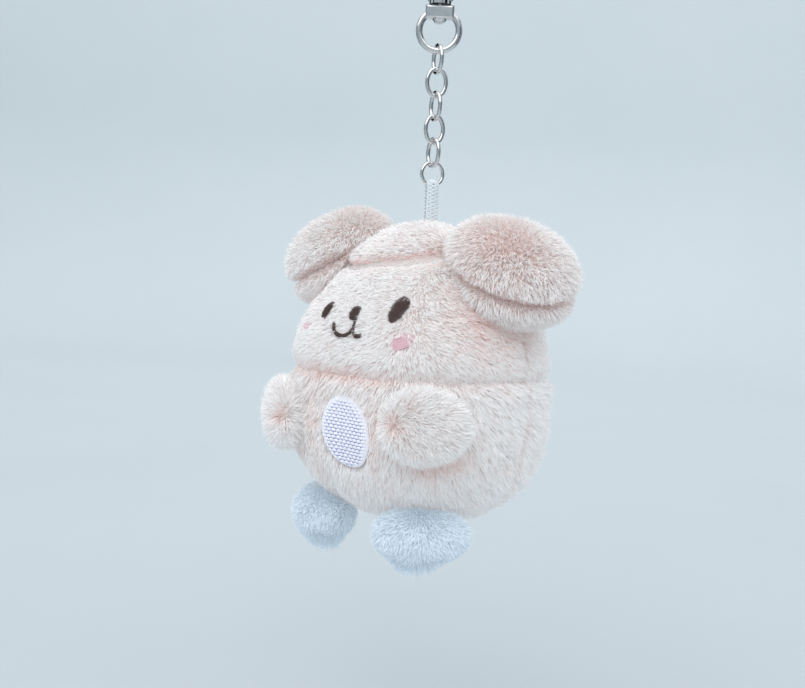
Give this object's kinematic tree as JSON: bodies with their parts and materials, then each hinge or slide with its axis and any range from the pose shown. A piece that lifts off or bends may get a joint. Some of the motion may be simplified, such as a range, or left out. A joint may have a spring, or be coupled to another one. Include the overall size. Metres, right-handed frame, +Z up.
{
  "type": "plush keychain",
  "caption": "Small stuffed animal with floppy ears, arms and feet, hung by a tape loop from a short link chain with a swivel ring and a sprung snap hook.",
  "frame": {"origin": "seat of the snap hook: the middle of the inside top of its arch, where it hangs on a ring, strap or zip pull", "axes": "+Z up along the hanging chain; the toy faces -Y and its left side is +X; the hook's arch lies in the XZ plane"},
  "size_m": [0.1038, 0.0767, 0.1886],
  "materials": {
    "plated_metal": "polished",
    "steel": "satin",
    "tape": "matte",
    "plush": "matte",
    "face_plush": "matte",
    "white_plush": "matte",
    "filling": "matte",
    "dark_thread": "satin",
    "pink_thread": "satin",
    "patch_satin": "satin"
  },
  "bodies": {
    "hook": {"hook_body": "plated_metal", "gate_pin": "steel", "gate_spring": "steel", "swivel_pin": "plated_metal"},
    "gate": {"gate_lever": "plated_metal"},
    "ring": {"swivel_ring": "plated_metal"},
    "link_1": {"chain_link_1": "plated_metal"},
    "link_2": {"chain_link_2": "plated_metal"},
    "link_3": {"chain_link_3": "plated_metal"},
    "link_4": {"chain_link_4": "plated_metal"},
    "link_5": {"chain_link_5": "plated_metal"},
    "jump_ring": {"jump_ring": "plated_metal"},
    "toy": {"hanging_loop": "tape", "crown_panel": "plush", "face_panel": "face_plush", "head_back_panel": "plush", "belly_panel": "plush", "back_panel": "plush", "body_stuffing": "filling", "eye_left": "dark_thread", "eye_right": "dark_thread", "cheek_left": "pink_thread", "cheek_right": "pink_thread", "nose": "dark_thread", "mouth": "dark_thread", "belly_patch": "patch_satin"},
    "ear_left": {"ear_left_outer_cover": "plush", "ear_left_inner_cover": "plush", "ear_left_stuffing": "filling"},
    "ear_right": {"ear_right_outer_cover": "plush", "ear_right_inner_cover": "plush", "ear_right_stuffing": "filling"},
    "arm_left": {"arm_left_outer_cover": "plush", "arm_left_inner_cover": "plush", "arm_left_stuffing": "filling"},
    "arm_right": {"arm_right_outer_cover": "plush", "arm_right_inner_cover": "plush", "arm_right_stuffing": "filling"},
    "foot_left": {"foot_left_outer_cover": "white_plush", "foot_left_inner_cover": "white_plush", "foot_left_stuffing": "filling"},
    "foot_right": {"foot_right_outer_cover": "white_plush", "foot_right_inner_cover": "white_plush", "foot_right_stuffing": "filling"}
  },
  "joints": [
    {"name": "gate_swing", "type": "hinge", "parent": "hook", "child": "gate", "pos_m": [0.0056, 0, -0.0144], "axis": [0, -1, 0], "range_deg": [0, 26], "stiffness_Nm_per_rad": 0.01, "springref_deg": -20.05},
    {"name": "ring_swivel", "type": "hinge", "parent": "hook", "child": "ring", "pos_m": [0, 0, -0.02945], "axis": [0, 0, 1], "continuous": true},
    {"name": "link_1_swing", "type": "hinge", "parent": "ring", "child": "link_1", "pos_m": [0, 0, -0.03545], "axis": [0.7986, 0.6018, 0], "range_deg": [-60, 60]},
    {"name": "link_2_swing", "type": "hinge", "parent": "link_1", "child": "link_2", "pos_m": [0, 0, -0.042], "axis": [0.8829, -0.4695, 0], "range_deg": [-60, 60]},
    {"name": "link_3_swing", "type": "hinge", "parent": "link_2", "child": "link_3", "pos_m": [0, 0, -0.049], "axis": [0.6561, 0.7547, 0], "range_deg": [-60, 60]},
    {"name": "link_4_swing", "type": "hinge", "parent": "link_3", "child": "link_4", "pos_m": [0, 0, -0.056], "axis": [0.9063, -0.4226, 0], "range_deg": [-60, 60]},
    {"name": "link_5_swing", "type": "hinge", "parent": "link_4", "child": "link_5", "pos_m": [0, 0, -0.063], "axis": [-0.4695, -0.8829, 0], "range_deg": [-60, 60]},
    {"name": "jump_ring_swing", "type": "hinge", "parent": "link_5", "child": "jump_ring", "pos_m": [0, 0, -0.07], "axis": [0.9397, -0.342, 0], "range_deg": [-60, 60]},
    {"name": "toy_swing", "type": "hinge", "parent": "jump_ring", "child": "toy", "pos_m": [0, 0, -0.0758], "axis": [-0.4848, -0.8746, 0], "range_deg": [-45, 45]},
    {"name": "ear_left_lift", "type": "hinge", "parent": "toy", "child": "ear_left", "pos_m": [0.013, -0.0034, -0.0893], "axis": [0, 1, 0], "range_deg": [-60, 0], "stiffness_Nm_per_rad": 0.001},
    {"name": "arm_left_swing", "type": "hinge", "parent": "toy", "child": "arm_left", "pos_m": [0.0346, -0.0194, -0.1432], "axis": [0, 0, 1], "range_deg": [0, 60], "stiffness_Nm_per_rad": 0.002},
    {"name": "foot_left_flex", "type": "hinge", "parent": "toy", "child": "foot_left", "pos_m": [0.0175, -0.0214, -0.17], "axis": [0.7547, 0.6561, 0], "range_deg": [-12, 12], "stiffness_Nm_per_rad": 0.003},
    {"name": "ear_right_lift", "type": "hinge", "parent": "toy", "child": "ear_right", "pos_m": [-0.013, -0.0034, -0.0893], "axis": [0, 1, 0], "range_deg": [0, 60], "stiffness_Nm_per_rad": 0.001},
    {"name": "arm_right_swing", "type": "hinge", "parent": "toy", "child": "arm_right", "pos_m": [-0.0346, -0.0194, -0.146], "axis": [0, 0, 1], "range_deg": [-60, 0], "stiffness_Nm_per_rad": 0.002},
    {"name": "foot_right_flex", "type": "hinge", "parent": "toy", "child": "foot_right", "pos_m": [-0.0175, -0.0214, -0.17], "axis": [-0.7547, 0.6561, 0], "range_deg": [-12, 12], "stiffness_Nm_per_rad": 0.003}
  ]
}
